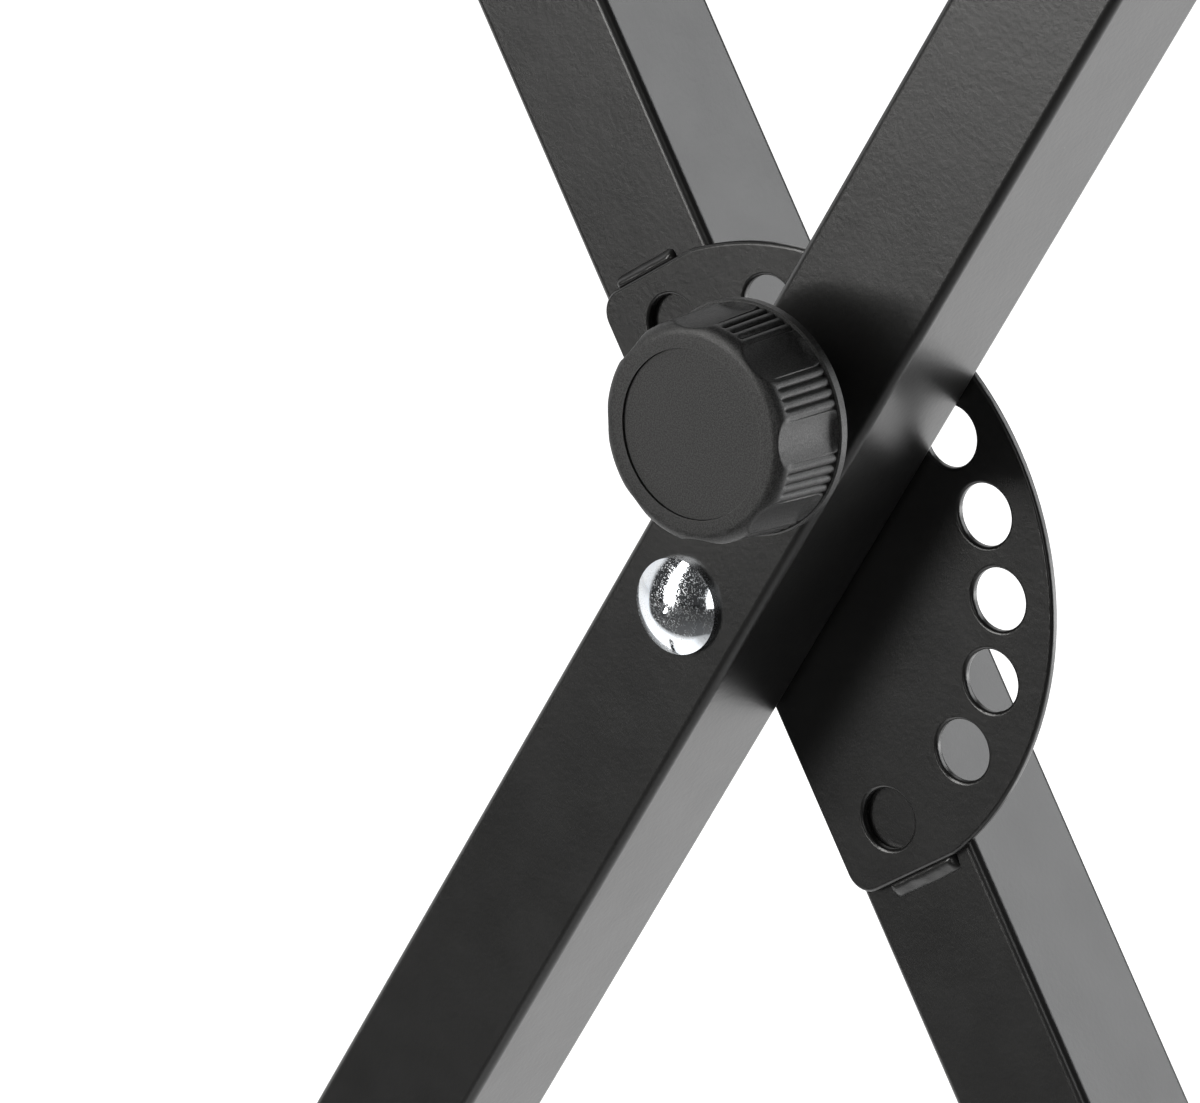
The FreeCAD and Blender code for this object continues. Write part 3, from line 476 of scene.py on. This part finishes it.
def weld_bead(shape, start, end, width, side):
    """Bead across the rear leg at the upper (side 1) or lower (side -1) edge of the lock plate."""
    across = Vector((math.cos(LEAN), 0.0, math.sin(LEAN)))
    outward = Vector((-math.sin(LEAN), 0.0, math.cos(LEAN))) * side
    corner = Vector((0.0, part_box("rear_leg_tube")[0].y, PIVOT.z)) + outward * PLATE_END
    rows = []
    for step in range(WELD_STEPS + 1):
        place = start + (end - start) * step / WELD_STEPS
        near_end = min(place - start, end - place)
        swell = math.sqrt(max(1 - max(1 - near_end / WELD_END, 0.0) ** 2, WELD_END_SWELL))
        spread_out = WELD_END_WIDTH + (1 - WELD_END_WIDTH) * swell
        row = []
        for out, height in weld_section(width):
            lump = 1 + LUMP_SIZE * noise.noise(Vector((place * LUMPS_ALONG, out * LUMPS_ACROSS, side)))
            rise = height * swell * lump if height > 0 else height
            spill = out * spread_out * lump if out > 0 else out
            row.append(shape.verts.new(corner + across * place + outward * spill - Vector((0, rise, 0))))
        rows.append(row)
    skin(shape, rows)
    shape.faces.new(rows[0])
    shape.faces.new(rows[-1])


def lock_plate_welds():
    shape = bmesh.new()
    weld_bead(shape, *UPPER_WELD, side=1)
    weld_bead(shape, *LOWER_WELD, side=-1)
    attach(new_piece("lock_plate_weld_beads", shape, "black_paint", "lock_plate_welds"), "rear_leg")


def pin_spring():
    """The CAD spring's own shape, one end on the bush in the front leg, the other on the pin's shoulder."""
    shape = bmesh.new()
    shape.from_mesh(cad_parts["pin_spring"].data)
    piece = new_piece("pin_coil_spring", shape, "plain_steel", "pin_spring")
    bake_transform(piece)


pull_knob()
lock_plate_welds()
pin_spring()


# Stage. An azimuth is 0 in front of the stand and grows towards its right
def towards_greater(azimuth):
    """Level direction at right angles to an azimuth."""
    return Vector((math.cos(azimuth), math.sin(azimuth), 0.0))


def below(tree, source, level):
    """One below a level in metres, nought above it, with a soft step."""
    return spread(tree, source, 1.0, 0.0, level - SHEET_FADE, level + SHEET_FADE)


def opposite(tree, share):
    return combine(tree, "SUBTRACT", 1.0, share)


def mirrored_rays(tree, ray):
    return maximum(tree, ray.outputs["Is Glossy Ray"], ray.outputs["Is Transmission Ray"])


def pale_floor():
    """Pale paper that the camera sees lifted to white; reflections see it dark in front and on the right,
    with painted shade that darkens it further from the stand.
    """
    mesh = bpy.data.meshes.new("studio_floor")
    shape = bmesh.new()
    bmesh.ops.create_grid(shape, x_segments=1, y_segments=1, size=FLOOR_REACH)
    shape.to_mesh(mesh)
    shape.free()
    floor = bpy.data.objects.new("studio_floor", mesh)
    bpy.context.scene.collection.objects.link(floor)
    material = bpy.data.materials.new("studio_paper")
    material.use_nodes = True
    tree = material.node_tree
    tree.nodes.clear()
    ray = node(tree, "ShaderNodeLightPath")
    place = node(tree, "ShaderNodeTexCoord").outputs["Object"]
    axes = node(tree, "ShaderNodeSeparateXYZ", {"Vector": place})
    away = node(tree, "ShaderNodeVectorMath", {0: place}, operation="LENGTH").outputs["Value"]
    mirrored = mirrored_rays(tree, ray)
    before = below(tree, axes.outputs["Y"], SHEET_FRONT)
    wall = along(tree, place, -towards_greater(WALL_FRONT_EDGE))
    front = product(tree, before, below(tree, wall, 0.0))
    beside = along(tree, place, towards_greater(SHEET_RIGHT_EDGE))
    right = spread(tree, beside, 1.0, 0.0, *SHEET_RIGHT_FADE)
    right = product(tree, right, opposite(tree, below(tree, axes.outputs["X"], 0.0)))
    room = maximum(tree, front, right)
    paper = tint(tree, speckle(tree, place, cell=0.05), *PAPER_TONES)
    # Painted shade: where reflections see the room, the floor darkens with distance from the stand, for light
    # falling off
    dark = tint(tree, away, *ROOM_FLOOR_SHADE_TONES, NEAR_FLOOR, FAR_FLOOR)
    paper = blend_colour(tree, product(tree, mirrored, room), paper, dark)
    lit = node(tree, "ShaderNodeBsdfDiffuse", {"Color": paper})
    seen_lift = spread(tree, away, *FLOOR_LIFT, NEAR_FLOOR, FAR_FLOOR)
    sheet_lift = spread(
        tree, axes.outputs["X"], WALL_LIFT, MIRRORED_LIFT, WALL_FOOT - SHEET_FADE, WALL_FOOT)
    lift = node(tree, "ShaderNodeMix", {
        "Factor": product(tree, mirrored, opposite(tree, room)),
        "A": product(tree, ray.outputs["Is Camera Ray"], seen_lift),
        "B": sheet_lift,
    })
    glow = node(tree, "ShaderNodeEmission", {"Color": (1, 1, 1, 1), "Strength": lift.outputs["Result"]})
    both = node(tree, "ShaderNodeAddShader", {0: lit.outputs["BSDF"], 1: glow.outputs["Emission"]})
    node(tree, "ShaderNodeOutputMaterial", {"Surface": both.outputs["Shader"]})
    mesh.materials.append(material)


def studio_world():
    """White to the camera; reflections see a low white wall on the left, in a dim room."""
    world = bpy.data.worlds.new("studio_world")
    world.use_nodes = True
    tree = world.node_tree
    tree.nodes.clear()
    ray = node(tree, "ShaderNodeLightPath")
    direction = node(tree, "ShaderNodeTexCoord").outputs["Generated"]
    height = node(tree, "ShaderNodeSeparateXYZ", {"Vector": direction}).outputs["Z"]
    mirrored = mirrored_rays(tree, ray)
    low = spread(tree, height, 1.0, 0.0, *WALL_TOP)
    behind_front_edge = along(tree, direction, -towards_greater(WALL_FRONT_EDGE))
    before_right_edge = along(tree, direction, towards_greater(WALL_RIGHT_EDGE))
    between = combine(tree, "MINIMUM", behind_front_edge, before_right_edge)
    wall = product(tree, spread(tree, between, 0.0, 1.0, -WALL_FADE, WALL_FADE), low)
    white = maximum(tree, ray.outputs["Is Camera Ray"], product(tree, mirrored, wall))
    dim = node(tree, "ShaderNodeMix", {"Factor": mirrored, "A": ROOM_LIGHT, "B": ROOM_REFLECTION})
    strength = maximum(tree, white, dim.outputs["Result"])
    room = node(tree, "ShaderNodeBackground", {"Color": (1, 1, 1, 1), "Strength": strength})
    node(tree, "ShaderNodeOutputWorld", {"Surface": room.outputs["Background"]})
    bpy.context.scene.world = world


def softbox(name, place, aim, size, power, colour):
    lamp = bpy.data.lights.new(name, "AREA")
    lamp.shape = "RECTANGLE"
    lamp.size, lamp.size_y = size
    lamp.energy = power
    lamp.color = colour
    holder = bpy.data.objects.new(name, lamp)
    holder.location = place
    holder.rotation_mode = "QUATERNION"
    holder.rotation_quaternion = (Vector(aim) - Vector(place)).to_track_quat("-Z", "Y")
    holder.visible_camera = False
    bpy.context.scene.collection.objects.link(holder)


def photo_camera():
    lens = bpy.data.cameras.new("photo_camera")
    lens.sensor_width = SENSOR_MM
    lens.lens = SENSOR_MM * FOCAL_PIXELS / IMAGE_WIDTH
    lens.clip_start, lens.clip_end = CLIP_START, CLIP_END
    right = towards_greater(VIEW_AZIMUTH)
    forward = Vector((-math.sin(VIEW_AZIMUTH), math.cos(VIEW_AZIMUTH), 0.0))
    back = Vector((0.0, 0.0, math.sin(VIEW_ELEVATION))) - forward * math.cos(VIEW_ELEVATION)
    turn = Matrix((right, back.cross(right), back)).transposed()
    turn = turn @ Matrix.Rotation(VIEW_ROLL, 3, "Z")
    camera = bpy.data.objects.new("photo_camera", lens)
    place = PIVOT + AIM_FROM_PIVOT + back * VIEW_DISTANCE
    camera.matrix_world = Matrix.Translation(place) @ turn.to_4x4()
    bpy.context.scene.collection.objects.link(camera)
    bpy.context.scene.camera = camera


pale_floor()
studio_world()
softbox("back_right_softbox", place=(1.0, 1.3, 1.3), aim=PIVOT,
        size=(1.0, 1.4), power=17.5, colour=(0.985, 0.993, 1.0))
softbox("low_right_softbox", place=(0.82, 0.88, 0.26), aim=PIVOT,
        size=(0.80, 0.50), power=5.8, colour=(1.0, 1.0, 1.0))
softbox("front_strip_softbox", place=(-1.53, -2.81, 2.05), aim=(0.0, 0.0, 2.05),
        size=(0.95, 4.0), power=124.0, colour=(1.0, 0.99, 0.97))
softbox("camera_side_softbox", place=(0.9, -1.33, 0.7), aim=PIVOT,
        size=(0.25, 0.9), power=2.4, colour=(1.0, 0.995, 0.985))
photo_camera()
bpy.context.scene.view_settings.view_transform = "Standard"
